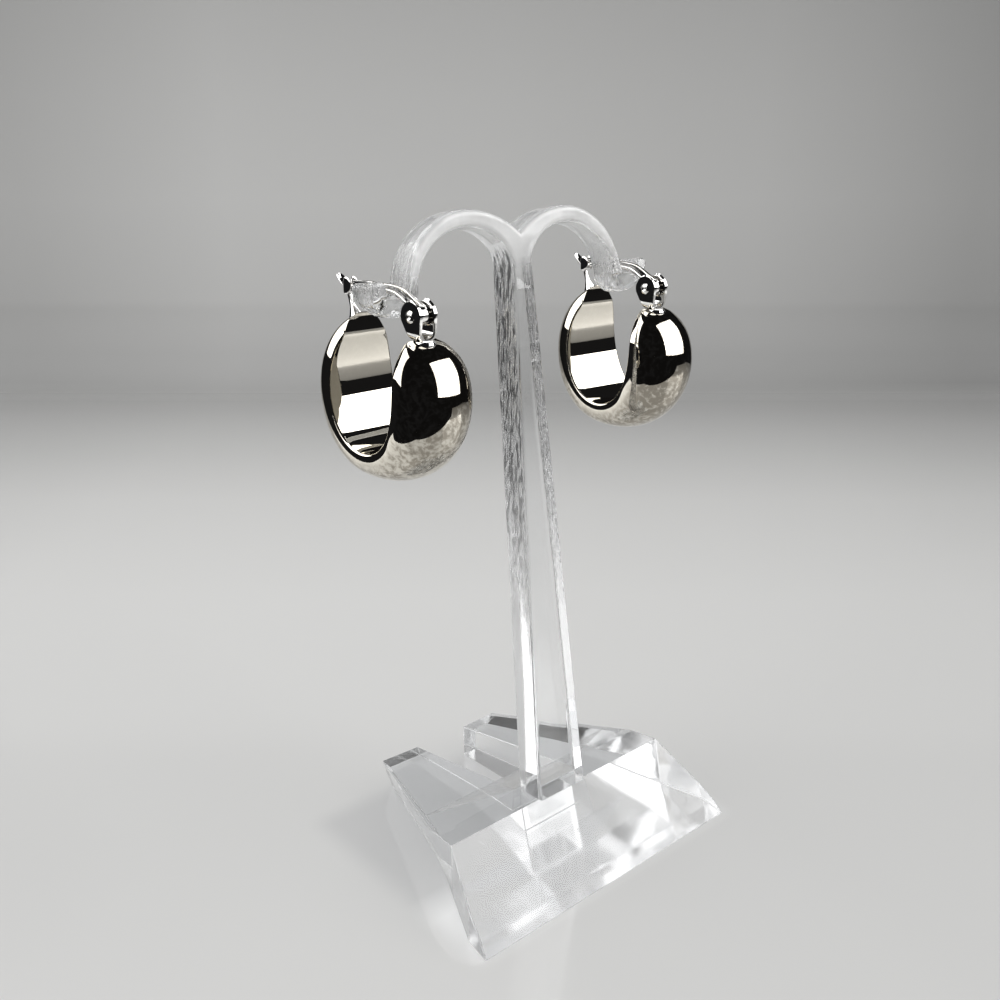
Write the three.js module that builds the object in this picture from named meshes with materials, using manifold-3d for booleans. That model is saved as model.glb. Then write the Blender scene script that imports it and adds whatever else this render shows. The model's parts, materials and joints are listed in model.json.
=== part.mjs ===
// A pair of dome hoop earrings on a clear earring stand.
// Millimetres, +Z up. X runs from the left arm to the right arm, +Y points to the back,
// and the origin lies on the underside of the base, below the foot of the stem.
import * as THREE from 'three';
import { mergeVertices } from 'three/addons/utils/BufferGeometryUtils.js';
import Module from 'manifold-3d';

const wasm = await Module();
wasm.setup();

// ---------- driving dimensions ----------

const RUN = 0.3; // gap that neighbouring pieces keep
const LEAN = THREE.MathUtils.degToRad(7.1); // the stem leans back by this much

const base = {
  frontY: -11.6, // foot of the front lip
  lipY: -10.2,
  lipHeight: 1.7,
  ridgeY: -0.8, // front edge of the flat ridge
  ridgeHeight: 9,
  ridgeDepth: 4.35,
  ridgeFall: 0.25, // how much lower the ridge's back edge is
  tailY: 27.1,
  tailHeight: 4.7,
};

const stem = {
  thickness: 4.3,
  footDrop: 2.4, // height of the tenon's underside
  footHalf: 4.58,
  topHalf: 1.7,
  tenonTop: 13, // height up to which the socket in the base is cut
};

const arch = {
  middle: 8.2, // sideways place of the arch's crown
  spring: 78, // height where its outer curve starts
  rise: 9.45,
  reachIn: 11.5, // half-axes of the outer curve, to the stem and away from it
  reachOut: 9.8,
  innerMiddle: 8.3,
  innerRise: 7.35,
  innerReach: 7.9,
  stemSpring: 80, // the inner curve springs higher on the stem's side
  crownGap: 0.2, // angle left out where the two inner curves meet
  fingerGap: 0.15, // angle left out where the outer curve meets the finger
};

const finger = {
  bottom: 75.7,
  top: 80,
  groove: 78.1, // floor of the groove that the ear wire lies in
  grooveFrom: 18.1,
  grooveTo: 20.9,
  tip: 23,
  heelReach: 2.3, // half-axes of the round below the arch and of the round tip
  heelRise: 2.3,
  tipReach: 4.2,
  tipRise: 3.4,
  lipRound: 0.7,
  grooveRound: 0.4,
};

const earring = {
  side: 19.5, // distance of each earring's hinge from the stem
  leftTwist: THREE.MathUtils.degToRad(2.7), // how each hangs, turned a little on its finger
  rightTwist: THREE.MathUtils.degToRad(-1.8),
  eyeY: 8.75, // middle of the hoop's opening
  eyeZ: 68.3,
  eyeHalfDepth: 6.1,
  eyeHalfHeight: 8.3,
  rim: 0.8, // height of the flat rim beside the dome
  rimShare: 0.6, // the most of a section's wall that the rim takes
  rimCorner: 0.3, // share of the rim's height cut off its inner edge
  fullness: 2.02, // exponent of the dome's section: 2 is an ellipse, more is squarer
};

// Sections round the hoop, from its back end under the bottom to its front end.
// turn: degrees from straight down, forwards positive; wall: how far the dome
// stands off the inner band; half: half the band's width.
const hoopSections = [
  { turn: -141, wall: 1.2, half: 1.1 },
  { turn: -134, wall: 1.8, half: 2.1 },
  { turn: -125, wall: 2.45, half: 3.2 },
  { turn: -112, wall: 3.25, half: 4.1 },
  { turn: -95, wall: 4.1, half: 4.7 },
  { turn: -75, wall: 4.55, half: 5.0 },
  { turn: -50, wall: 4.7, half: 5.15 },
  { turn: -25, wall: 4.2, half: 5.05 },
  { turn: 0, wall: 3.7, half: 4.85 },
  { turn: 20, wall: 4.05, half: 4.75 },
  { turn: 40, wall: 4.7, half: 4.8 },
  { turn: 60, wall: 5.35, half: 5.05 },
  { turn: 78, wall: 5.2, half: 5.2 },
  { turn: 92, wall: 4.35, half: 5.2 },
  { turn: 102, wall: 3.5, half: 4.95 },
  { turn: 110, wall: 2.65, half: 4.4 },
  { turn: 116, wall: 1.95, half: 3.7 },
  { turn: 120, wall: 1.45, half: 3.05 },
  { turn: 124, wall: 0.95, half: 2.3 },
];

const hinge = {
  y: 3.65,
  z: 76.05,
  earRadius: 1.7,
  earThickness: 0.4,
  outerWidth: 2.5,
  footY: 3.0, // the ears narrow to a foot that stands a little forward
  footZ: 73.2,
  footHalf: 0.75,
  collarRadius: 1.45,
  collarTop: 1.3, // radius where the collar meets the bracket
  collarHeight: 1.1,
  pinRadius: 0.4,
  pinPlay: 0.1,
  headRadius: 0.7,
  headHeight: 0.25,
};

const wire = {
  width: 1.3,
  height: 0.95,
  skin: 0.35, // metal thickness of the channel
  barrelRadius: 1.15,
  tongueWidth: 0.35,
  tongueHeight: 0.45,
};

const latch = {
  neckWidth: 0.5,
  headWidth: 1.35,
  slot: 0.9,
  slotFloor: 77.9,
  headTop: 79.4,
  headFront: 15.45,
  headBack: 16.95,
};

const bill = {
  rootY: 16.6,
  rootZ: 77.75,
  tipY: 18.75,
  tipZ: 79.5,
  width: 1.05,
  thickness: 0.3,
  dish: 0.2, // how far its middle is pressed in
  endShare: 0.5, // width of its two ends, as a share of its width
};

// ---------- materials ----------

const acrylic = new THREE.MeshStandardMaterial({ color: 0xe8ecef, roughness: 0.08, metalness: 0 });
const silver = new THREE.MeshStandardMaterial({ color: 0xd9dadb, roughness: 0.08, metalness: 1 });
const silverWire = new THREE.MeshStandardMaterial({ color: 0xcfd0d2, roughness: 0.15, metalness: 1 });

// ---------- shape helpers ----------

// A closed body through rings of points; all rings have the same number of points.
function loft(rings) {
  const count = rings[0].length;
  const points = rings.flat().flatMap((p) => [p.x, p.y, p.z]);
  const faces = [];
  for (let i = 0; i < rings.length - 1; i += 1) {
    for (let j = 0; j < count; j += 1) {
      const k = (j + 1) % count;
      const a = i * count + j;
      const b = i * count + k;
      const c = a + count;
      const d = b + count;
      faces.push(a, b, d, a, d, c);
    }
  }
  const caps = [
    { ring: rings[0], start: 0, flip: true },
    { ring: rings.at(-1), start: (rings.length - 1) * count, flip: false },
  ];
  for (const { ring, start, flip } of caps) {
    for (const [a, b, c] of THREE.ShapeUtils.triangulateShape(flatten(ring), [])) {
      faces.push(start + a, start + (flip ? c : b), start + (flip ? b : c));
    }
  }
  const geometry = new THREE.BufferGeometry();
  geometry.setAttribute('position', new THREE.Float32BufferAttribute(points, 3));
  geometry.setIndex(faces);
  return outward(geometry);
}

// A flat ring's points in its own plane.
function flatten(ring) {
  const origin = ring[0];
  const normal = new THREE.Vector3();
  ring.forEach((p, i) => {
    const q = ring[(i + 1) % ring.length];
    normal.add(new THREE.Vector3().crossVectors(p.clone().sub(origin), q.clone().sub(origin)));
  });
  normal.normalize();
  const across = ring.reduce(
    (far, p) => (p.distanceTo(origin) > far.distanceTo(origin) ? p : far), origin,
  ).clone().sub(origin).normalize();
  const up = new THREE.Vector3().crossVectors(normal, across);
  return ring.map((p) => {
    const from = p.clone().sub(origin);
    return new THREE.Vector2(from.dot(across), from.dot(up));
  });
}

// Turns a closed mesh's faces outwards where its volume comes out negative.
function outward(geometry) {
  const index = geometry.index.array;
  const at = geometry.attributes.position;
  const [a, b, c] = [new THREE.Vector3(), new THREE.Vector3(), new THREE.Vector3()];
  let volume = 0;
  for (let i = 0; i < index.length; i += 3) {
    a.fromBufferAttribute(at, index[i]);
    b.fromBufferAttribute(at, index[i + 1]);
    c.fromBufferAttribute(at, index[i + 2]);
    volume += a.dot(b.cross(c));
  }
  if (volume < 0) {
    for (let i = 0; i < index.length; i += 3) {
      [index[i + 1], index[i + 2]] = [index[i + 2], index[i + 1]];
    }
  }
  return geometry;
}

function solid(geometry) {
  const bare = geometry.clone();
  bare.deleteAttribute('normal');
  bare.deleteAttribute('uv');
  const merged = mergeVertices(bare, 1e-4);
  return new wasm.Manifold(new wasm.Mesh({
    numProp: 3,
    vertProperties: new Float32Array(merged.attributes.position.array),
    triVerts: new Uint32Array(merged.index.array),
  }));
}

function mesh(name, body, material) {
  const { vertProperties, triVerts } = body.getMesh();
  const geometry = new THREE.BufferGeometry();
  geometry.setAttribute('position', new THREE.Float32BufferAttribute(vertProperties, 3));
  geometry.setIndex([...triVerts]);
  geometry.computeVertexNormals();
  const made = new THREE.Mesh(geometry, material);
  made.name = name;
  return made;
}

const join = (...bodies) => bodies.reduce((whole, body) => whole.add(body));

// An outline drawn in Y and Z, made into a plate that is centred on the plane X = 0.
function sidePlate(shape, width, curveSegments = 12) {
  const plate = new THREE.ExtrudeGeometry(shape, { depth: width, bevelEnabled: false, curveSegments });
  plate.translate(0, 0, -width / 2);
  plate.applyMatrix4(new THREE.Matrix4().makeBasis(
    new THREE.Vector3(0, 1, 0), new THREE.Vector3(0, 0, 1), new THREE.Vector3(1, 0, 0),
  ));
  return solid(plate);
}

function polygon(points) {
  return new THREE.Shape(points.map(([a, b]) => new THREE.Vector2(a, b)));
}

// A round bar along X.
function crossBar(radius, length, y, z, sides = 16) {
  const bar = new THREE.CylinderGeometry(radius, radius, length, sides);
  bar.rotateZ(Math.PI / 2);
  bar.translate(0, y, z);
  return solid(bar);
}

// ---------- the stand ----------

// Corners of one half of the base, from the front lip round the leg to the notch.
// The walls run straight from the foot on the table through the crown at height crownZ.
const baseCorners = [
  { at: 'lip', footX: 23.3, footY: -13, crownX: 23.2, crownY: -13, crownZ: 9 },
  { at: 'flank', footX: 22.5, footY: -7.5, crownX: 22.2, crownY: -7.4, crownZ: 3.8 },
  { at: 'ridge front', footX: 19.3, footY: -0.8, crownX: 19.8, crownY: -0.8, crownZ: 9 },
  { at: 'ridge back', footX: 17.3, footY: 3.3, crownX: 19.4, crownY: 3.55, crownZ: 8.75 },
  { at: 'waist', footX: 15.6, footY: 7.3, crownX: 17.9, crownY: 7.7, crownZ: 8 },
  { at: 'leg end', footX: 9.9, footY: 26.4, crownX: 11.1, crownY: 27.1, crownZ: 4.7 },
  { at: 'leg end inside', footX: 4.2, footY: 26.1, crownX: 4.6, crownY: 26.7, crownZ: 4.8 },
  { at: 'notch', footX: 4.9, footY: 3.7, crownX: 4.9, crownY: 3.6, crownZ: 8.7 },
];

function baseRing(height) {
  const half = baseCorners.map((c) => {
    const part = height / c.crownZ;
    return new THREE.Vector3(
      c.footX + (c.crownX - c.footX) * part,
      c.footY + (c.crownY - c.footY) * part,
      height,
    );
  });
  const mirrored = half.map((p) => new THREE.Vector3(-p.x, p.y, p.z)).reverse();
  return [...half, ...mirrored];
}

function makeBase() {
  const above = base.ridgeHeight + 1;
  const walls = solid(loft([baseRing(0), baseRing(above)]));
  const beyond = base.tailY + 3;
  const fall = (base.ridgeHeight - base.ridgeFall - base.tailHeight)
    / (base.tailY - base.ridgeY - base.ridgeDepth);
  const profile = polygon([
    [base.frontY, 0],
    [base.lipY, base.lipHeight],
    [base.ridgeY, base.ridgeHeight],
    [base.ridgeY + base.ridgeDepth, base.ridgeHeight - base.ridgeFall],
    [beyond, base.tailHeight - fall * (beyond - base.tailY)],
    [beyond, 0],
  ].reverse());
  const widest = 2 * (baseCorners[0].footX + 1);
  const socket = solid(stemPlate(tenonOutline(RUN), stem.thickness + 2 * RUN));
  return walls.intersect(sidePlate(profile, widest)).subtract(socket);
}

// A plate whose outline is drawn upright in X and Z, centred on Y and then leant back.
function stemPlate(shape, thickness) {
  const plate = new THREE.ExtrudeGeometry(shape, {
    depth: thickness, bevelEnabled: false, curveSegments: 10,
  });
  plate.translate(0, 0, -thickness / 2);
  plate.rotateX(Math.PI / 2);
  plate.rotateX(-LEAN);
  return plate;
}

// Half the stem's width at a height, tapering from the foot to the arms.
function stemHalf(height) {
  const part = (height - stem.footDrop) / (arch.stemSpring - stem.footDrop);
  return THREE.MathUtils.lerp(stem.footHalf, stem.topHalf, part);
}

function tenonOutline(gap) {
  const bottom = stem.footDrop - gap;
  const top = stem.tenonTop;
  return polygon([
    [-stemHalf(bottom) - gap, bottom],
    [stemHalf(bottom) + gap, bottom],
    [stemHalf(top) + gap, top],
    [-stemHalf(top) - gap, top],
  ]);
}

// One side of the stem, arch and finger, from the foot up the inside and back over the top.
function drawArm(shape, side) {
  const quarter = Math.PI / 2;
  const ellipse = (x, z, reach, rise, from, to, steps = 8) => {
    for (let i = 0; i <= steps; i += 1) {
      const turn = THREE.MathUtils.lerp(from, to, i / steps);
      points.push([x + reach * Math.cos(turn), z + rise * Math.sin(turn)]);
    }
  };
  const points = [[stem.footHalf, stem.footDrop]];
  const stemRise = arch.spring + arch.innerRise - arch.stemSpring;
  const stemReach = arch.innerMiddle - stem.topHalf;
  ellipse(arch.innerMiddle, arch.stemSpring, stemReach, stemRise, Math.PI, quarter);
  ellipse(arch.innerMiddle, arch.spring, arch.innerReach, arch.innerRise, quarter - arch.crownGap, 0);
  points.pop(); // the heel's round starts here
  const { bottom, top, groove, grooveFrom, grooveTo, tip } = finger;
  const { heelReach, heelRise, tipReach, tipRise, lipRound, grooveRound } = finger;
  const heel = arch.innerMiddle + arch.innerReach + heelReach;
  ellipse(heel, bottom + heelRise, heelReach, heelRise, Math.PI, 3 * quarter);
  ellipse(tip - tipReach, bottom + tipRise, tipReach, tipRise, 3 * quarter, 4 * quarter);
  ellipse(tip - lipRound, top - lipRound, lipRound, lipRound, 0, quarter, 3);
  ellipse(grooveTo + lipRound, top - lipRound, lipRound, lipRound, quarter, 2 * quarter, 3);
  points.push([grooveTo, groove + grooveRound], [grooveTo - grooveRound, groove]);
  points.push([grooveFrom + grooveRound, groove], [grooveFrom, groove + grooveRound]);
  ellipse(arch.middle, arch.spring, arch.reachOut, arch.rise, arch.fingerGap, quarter);
  const valley = Math.acos(-arch.middle / arch.reachIn);
  ellipse(arch.middle, arch.spring, arch.reachIn, arch.rise, quarter + arch.fingerGap, valley);
  for (const [x, z] of side > 0 ? points : points.reverse()) {
    shape.push(new THREE.Vector2(side * x, z));
  }
}

function makeStem() {
  const outline = [];
  drawArm(outline, 1);
  outline.pop(); // the valley point is shared
  drawArm(outline, -1);
  return solid(stemPlate(new THREE.Shape(outline), stem.thickness));
}

// ---------- one earring, on the plane X = 0 ----------

function hoopRing({ turn, wall, half }) {
  const angle = THREE.MathUtils.degToRad(turn);
  const out = new THREE.Vector3(0, -Math.sin(angle), -Math.cos(angle));
  const seat = new THREE.Vector3(
    0,
    earring.eyeY + earring.eyeHalfDepth * out.y,
    earring.eyeZ + earring.eyeHalfHeight * out.z,
  );
  const lip = Math.min(earring.rim, earring.rimShare * wall);
  const corner = earring.rimCorner * lip;
  const place = (x, rise) => seat.clone().addScaledVector(out, rise).setX(x);
  const ring = [place(-half / 2, 0), place(half / 2, 0), place(half - corner, 0)];
  const steps = 16;
  for (let i = 0; i <= steps; i += 1) {
    const sweep = (Math.PI * i) / steps;
    const power = 2 / earring.fullness;
    const across = Math.sign(Math.cos(sweep)) * Math.abs(Math.cos(sweep)) ** power;
    const rise = lip + (wall - lip) * Math.abs(Math.sin(sweep)) ** power;
    ring.push(place(half * across, rise));
  }
  ring.push(place(-half + corner, 0));
  return ring;
}

function between(rows, steps) {
  const rings = [];
  for (let i = 0; i < rows.length - 1; i += 1) {
    for (let s = 0; s < steps; s += 1) {
      rings.push(blendRow(rows, i, s / steps));
    }
  }
  rings.push(rows.at(-1));
  return rings;
}

// A smooth value between two rows of a table, column by column.
function blendRow(rows, i, part) {
  const row = {};
  for (const key of Object.keys(rows[i])) {
    const at = (n) => rows[THREE.MathUtils.clamp(n, 0, rows.length - 1)][key];
    const before = at(i - 1);
    const from = at(i);
    const to = at(i + 1);
    const after = at(i + 2);
    const slopeFrom = (to - before) / 2;
    const slopeTo = (after - from) / 2;
    row[key] = from + slopeFrom * part
      + (3 * (to - from) - 2 * slopeFrom - slopeTo) * part ** 2
      + (2 * (from - to) + slopeFrom + slopeTo) * part ** 3;
  }
  return row;
}

function makeHoop() {
  const body = solid(loft(between(hoopSections, 2).map(hoopRing)));
  return join(body, makeBracket(), makeLatch());
}

// The hinge bracket: a strip bent into a U, two rounded ears on a small collar.
function makeBracket() {
  const { y, z, earRadius, footY, footHalf, footZ, earThickness, outerWidth } = hinge;
  const shoulder = 0.3; // angle below level where the ear's round ends
  const shoulderY = earRadius * Math.cos(shoulder);
  const shoulderZ = z - earRadius * Math.sin(shoulder);
  const ear = new THREE.Shape();
  ear.moveTo(footY - footHalf, footZ);
  ear.lineTo(footY + footHalf, footZ);
  ear.lineTo(y + shoulderY, shoulderZ);
  ear.absarc(y, z, earRadius, -shoulder, Math.PI + shoulder, false);
  ear.lineTo(y - shoulderY, shoulderZ);
  const blank = sidePlate(ear, outerWidth, 10);
  const reach = 2 * earRadius;
  const bendZ = footZ + outerWidth / 2;
  const strip = uBar(outerWidth / 2, bendZ, z + reach, y, reach)
    .subtract(uBar(outerWidth / 2 - earThickness, bendZ, z + 2 * reach, y, 2 * reach));
  const bore = crossBar(hinge.pinRadius + hinge.pinPlay, 2 * outerWidth, y, z);
  const collar = new THREE.CylinderGeometry(
    hinge.collarTop, hinge.collarRadius, hinge.collarHeight, 20,
  );
  collar.rotateX(Math.PI / 2);
  collar.translate(0, footY, footZ + earThickness / 2 - hinge.collarHeight / 2);
  return blank.intersect(strip).subtract(bore).add(solid(collar));
}

// A bar along Y whose section is a U filled in: round below bendZ, straight up to topZ.
function uBar(radius, bendZ, topZ, y, length) {
  const shape = new THREE.Shape();
  shape.moveTo(radius, topZ);
  shape.lineTo(-radius, topZ);
  shape.absarc(0, bendZ, radius, Math.PI, 2 * Math.PI, false);
  const bar = new THREE.ExtrudeGeometry(shape, {
    depth: length, bevelEnabled: false, curveSegments: 12,
  });
  bar.translate(0, 0, -length / 2);
  bar.rotateX(Math.PI / 2);
  bar.translate(0, y, 0);
  return solid(bar);
}

// The catch: a slim upright whose forked head takes the ear wire's tongue, with a thumb bill.
// The outlines are [y, z] pairs: the neck from its foot in the hoop's end, the head's two ears.
const neckOutline = [
  [15.6, 73.8], [14.3, 74.4], [14.9, 75.25], [15.6, 75.9], [16.1, 76.7], [16.35, 77.7],
  [16.8, 77.7], [16.75, 76.8], [16.55, 75.9], [16.6, 75.1], [16.6, 73.8],
];
const headOutline = [
  [16.3, 77.4], [15.75, 77.75], [latch.headFront, 78.3], [15.5, 78.85], [15.9, 79.25],
  [16.45, latch.headTop], [16.85, 79.1], [latch.headBack, 78.4], [16.85, 77.4],
];

function makeLatch() {
  const neck = sidePlate(polygon(neckOutline), latch.neckWidth);
  const head = sidePlate(polygon(headOutline), latch.headWidth);
  const { slotFloor, headTop, headFront, headBack } = latch;
  const slot = sidePlate(polygon([
    [headFront - 1, slotFloor], [headBack + 1, slotFloor],
    [headBack + 1, headTop + 1], [headFront - 1, headTop + 1],
  ]), latch.slot);
  return head.subtract(slot).add(neck).add(makeBill());
}

// The oval plate that a thumb pushes, dished, rising backwards from the foot of the head.
function makeBill() {
  const root = new THREE.Vector2(bill.rootY, bill.rootZ);
  const tip = new THREE.Vector2(bill.tipY, bill.tipZ);
  const along = tip.clone().sub(root).normalize();
  const normal = new THREE.Vector2(-along.y, along.x);
  const shares = [-1, -0.5, 0.5, 1];
  const steps = 10;
  const rings = [];
  for (let i = 0; i <= steps; i += 1) {
    const part = i / steps;
    const swell = Math.sin(Math.PI * part) ** 0.5;
    const half = (bill.width / 2) * THREE.MathUtils.lerp(bill.endShare, 1, swell);
    const dished = (share, up) => {
      const sunk = bill.dish * swell * (1 - share ** 2);
      const at = root.clone().lerp(tip, part).addScaledVector(normal, up - sunk);
      return new THREE.Vector3(share * half, at.x, at.y);
    };
    const above = shares.map((share) => dished(share, bill.thickness / 2));
    const below = shares.map((share) => dished(share, -bill.thickness / 2)).reverse();
    rings.push([...above, ...below]);
  }
  return solid(loft(rings));
}

// The ear wire: a channel-section strip from the barrel over the finger to its tongue.
// Its path, as steps back from and up from the hinge pin.
const wirePath = [
  { back: -0.3, up: 0.65 },
  { back: 1.3, up: 1.34 },
  { back: 3.15, up: 2.24 },
  { back: 4.65, up: 2.52 },
  { back: 6.5, up: 2.58 },
  { back: 9.4, up: 2.6 },
  { back: 11.4, up: 2.45 },
];

function makeEarWire() {
  const { width, height, skin, tongueWidth, tongueHeight } = wire;
  const path = new THREE.CatmullRomCurve3(
    wirePath.map(({ back, up }) => new THREE.Vector3(0, hinge.y + back, hinge.z + up)),
  );
  const innerX = 0.5 - skin / width;
  const innerTop = 0.5 - skin / height;
  // The channel's outline as shares of its width and height, open below.
  const section = [
    [-0.5, -0.5], [-0.5, 0.2], [-0.3, 0.5], [0.3, 0.5], [0.5, 0.2], [0.5, -0.5],
    [innerX, -0.5], [innerX, innerTop], [-innerX, innerTop], [-innerX, -0.5],
  ];
  const steps = 18;
  const rings = [];
  for (let i = 0; i <= steps; i += 1) {
    const at = path.getPointAt(i / steps);
    const along = path.getTangentAt(i / steps);
    const up = new THREE.Vector3(0, -along.z, along.y);
    rings.push(section.map(([x, n]) => at.clone().addScaledVector(up, n * height).setX(x * width)));
  }
  const strip = solid(loft(rings));
  const barrel = crossBar(wire.barrelRadius, width, hinge.y, hinge.z, 20);
  const bore = crossBar(hinge.pinRadius + hinge.pinPlay, 2 * width, hinge.y, hinge.z);
  const end = path.getPointAt(1);
  const root = end.y - skin;
  const reach = latch.headBack - root; // through the catch
  const tongue = new THREE.BoxGeometry(tongueWidth, reach, tongueHeight);
  tongue.translate(0, root + reach / 2, end.z + height / 2 - tongueHeight);
  return join(barrel, strip, solid(tongue)).subtract(bore);
}

function makeRivet() {
  const pin = crossBar(hinge.pinRadius, hinge.outerWidth + hinge.headHeight, hinge.y, hinge.z);
  const standOff = 0.05; // clear of the ear
  const offset = hinge.outerWidth / 2 + standOff + hinge.headHeight / 2;
  const head = (side) => crossBar(hinge.headRadius, hinge.headHeight, hinge.y, hinge.z)
    .translate([side * offset, 0, 0]);
  return join(pin, head(1), head(-1));
}

// ---------- assembly ----------

const model = new THREE.Group();
model.add(mesh('stand_base', makeBase(), acrylic));
model.add(mesh('stand_stem', makeStem(), acrylic));
const pair = [
  { name: 'left', side: -1, twist: earring.leftTwist },
  { name: 'right', side: 1, twist: earring.rightTwist },
];
for (const { name, side, twist } of pair) {
  const hung = new THREE.Group();
  hung.position.set(side * earring.side, hinge.y, 0);
  hung.rotation.z = twist;
  const pieces = [
    mesh(`${name}_hoop`, makeHoop(), silver),
    mesh(`${name}_ear_wire`, makeEarWire(), silverWire),
    mesh(`${name}_hinge_rivet`, makeRivet(), silver),
  ];
  for (const piece of pieces) {
    piece.position.y = -hinge.y;
    hung.add(piece);
  }
  model.add(hung);
}

export default model;
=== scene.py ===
import json
import math

import bmesh
import bpy
import numpy as np
from mathutils import Matrix, Vector


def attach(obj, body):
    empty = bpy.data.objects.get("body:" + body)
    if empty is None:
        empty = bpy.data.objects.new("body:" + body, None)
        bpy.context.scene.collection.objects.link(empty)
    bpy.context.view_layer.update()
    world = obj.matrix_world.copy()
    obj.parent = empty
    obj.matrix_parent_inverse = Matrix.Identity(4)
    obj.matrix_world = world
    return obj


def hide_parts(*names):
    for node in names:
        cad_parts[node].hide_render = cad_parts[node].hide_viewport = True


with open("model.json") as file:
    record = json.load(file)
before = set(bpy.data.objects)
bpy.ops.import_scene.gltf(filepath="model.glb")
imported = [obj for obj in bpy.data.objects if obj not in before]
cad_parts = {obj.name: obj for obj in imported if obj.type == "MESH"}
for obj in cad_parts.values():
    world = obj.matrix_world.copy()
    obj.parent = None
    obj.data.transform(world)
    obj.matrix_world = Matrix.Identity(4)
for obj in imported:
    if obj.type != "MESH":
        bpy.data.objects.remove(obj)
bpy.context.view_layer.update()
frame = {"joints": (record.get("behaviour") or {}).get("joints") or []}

# ---- The stand ----------------------------------------------------------------------
# Clear acrylic, sawn and flame-polished. The base is a block with a low lip, a steep slope,
# a narrow ridge and two legs behind. The stem is cut from sheet and tapers to two arches,
# whose ends turn out into grooved fingers. Its foot is cemented into the base.

MM = 0.001
ROOT = "stand_and_hoops"

lean = math.radians(7.1)  # of the stem, backwards
base_front, base_lip, lip_height = -11.6, -10.2, 1.7
ridge_front, ridge_back, ridge_height, ridge_fall = -0.8, 3.55, 9.0, 0.25
tail, tail_height, block_height = 27.1, 4.7, 10.0
polish_radius = 0.16

# Corners of one half of the base, from the front lip round the leg to the slot: X and Y
# where a wall stands on the table, then its X and Y at the height given last.
base_corners = [
    (23.3, -13.0, 23.2, -13.0, 9.0),
    (22.5, -7.5, 22.2, -7.4, 3.8),
    (19.3, -0.8, 19.8, -0.8, 9.0),
    (17.3, 3.3, 19.4, 3.55, 8.75),
    (15.6, 7.3, 17.9, 7.7, 8.0),
    (9.9, 26.4, 11.1, 27.1, 4.7),
    (4.2, 26.1, 4.6, 26.7, 4.8),
    (4.9, 3.7, 4.9, 3.6, 8.7),
]

stem_thickness, foot_drop, foot_half, top_half = 4.3, 2.4, 4.58, 1.7
arch_middle, arch_spring, arch_rise, reach_in, reach_out = 8.2, 78.0, 9.45, 11.5, 9.8
inner_middle, inner_rise, inner_reach, stem_spring = 8.3, 7.35, 7.9, 80.0
crown_gap, valley_gap, finger_gap = 0.06, 0.04, 0.15  # angles left open where curves meet
least_gap = 0.02  # nearer than this, two points of the outline are one
finger_bottom, finger_top, finger_tip = 75.7, 80.0, 23.0
groove_floor, groove_from, groove_to, groove_round = 78.1, 18.1, 20.9, 0.4
heel_reach, heel_rise, tip_reach, tip_rise, lip_round = 2.3, 2.3, 4.2, 3.4, 0.7

# How far the flame has rounded the sheet's edges, the heights over which that changes along
# the arms and up the fingers, and where the fingers and their tips begin.
stem_round, arm_round, finger_round, tip_round, groove_edge_round = 0.17, 0.8, 1.5, 0.55, 0.3
arm_heights, finger_heights, finger_from, tip_from = (72, 80), (76.2, 78), 16, 78.5

# The acrylic's finish. Each trait comes in or goes out between two heights, or between two
# distances out from the stand's middle.
waves_on_base, waves_on_arms, more_on_fingers, haze = 0.03, 0.45, 2.2, 0.03
wavy_heights, cloudy_heights = (70 * MM, 77 * MM), (77.5 * MM, 83.5 * MM)
sawn_heights, shade_heights = (30 * MM, 60 * MM), (34 * MM, 46 * MM)
base_top, shade_widening = (9.5 * MM, 10.5 * MM), (10 * MM, 25 * MM)
past_stem, onto_fingers = (4.2 * MM, 5 * MM), (16.5 * MM, 18 * MM)
left_to_right = (-MM, MM)
acrylic_tint = (0.985, 0.99, 0.995, 1.0)
cloud_white = (0.97, 0.97, 0.965, 1.0)
# Painted shade: grey laid low on the stem's left edge.
painted_shade_grey = (0.5, 0.5, 0.5, 1.0)
# Painted dark streaks in the saw marks, standing in for dark reflections.
painted_dark_streaks = (0.05, 0.05, 0.052, 1.0)
shadow_tint = (0.90, 0.905, 0.91, 1.0)


def cut(bm, point, normal):
    """Cuts away what lies on the normal's side of a plane and closes the cut."""
    geometry = bm.verts[:] + bm.edges[:] + bm.faces[:]
    made = bmesh.ops.bisect_plane(
        bm, geom=geometry, plane_co=point, plane_no=normal, clear_outer=True)
    rim = [e for e in made["geom_cut"] if isinstance(e, bmesh.types.BMEdge)]
    bmesh.ops.edgenet_fill(bm, edges=rim)


def loft(rings):
    """A closed body through rings of points, its two ends capped."""
    bm = bmesh.new()
    verts = [[bm.verts.new(p) for p in ring] for ring in rings]
    bm.faces.new(verts[0][::-1])
    bm.faces.new(verts[-1])
    for low, high in zip(verts, verts[1:]):
        for i in range(len(low)):
            j = (i + 1) % len(low)
            bm.faces.new((low[i], low[j], high[j], high[i]))
    return bm


def base_block():
    """The base's walls, cut to its lip, slope, ridge and falling legs."""
    rings = []
    for height in (0.0, block_height):
        half = [(foot_x + (x - foot_x) * height / z, foot_y + (y - foot_y) * height / z, height)
                for foot_x, foot_y, x, y, z in base_corners]
        rings.append(half + [(-x, y, z) for x, y, z in half[::-1]])
    bm = loft(rings)
    bmesh.ops.recalc_face_normals(bm, faces=bm.faces[:])
    profile = [(base_front, 0.0), (base_lip, lip_height), (ridge_front, ridge_height),
               (ridge_back, ridge_height - ridge_fall), (tail, tail_height)]
    for (y1, z1), (y2, z2) in zip(profile, profile[1:]):
        cut(bm, (0, y1, z1), (0, -(z2 - z1), y2 - y1))
    return bm


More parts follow.
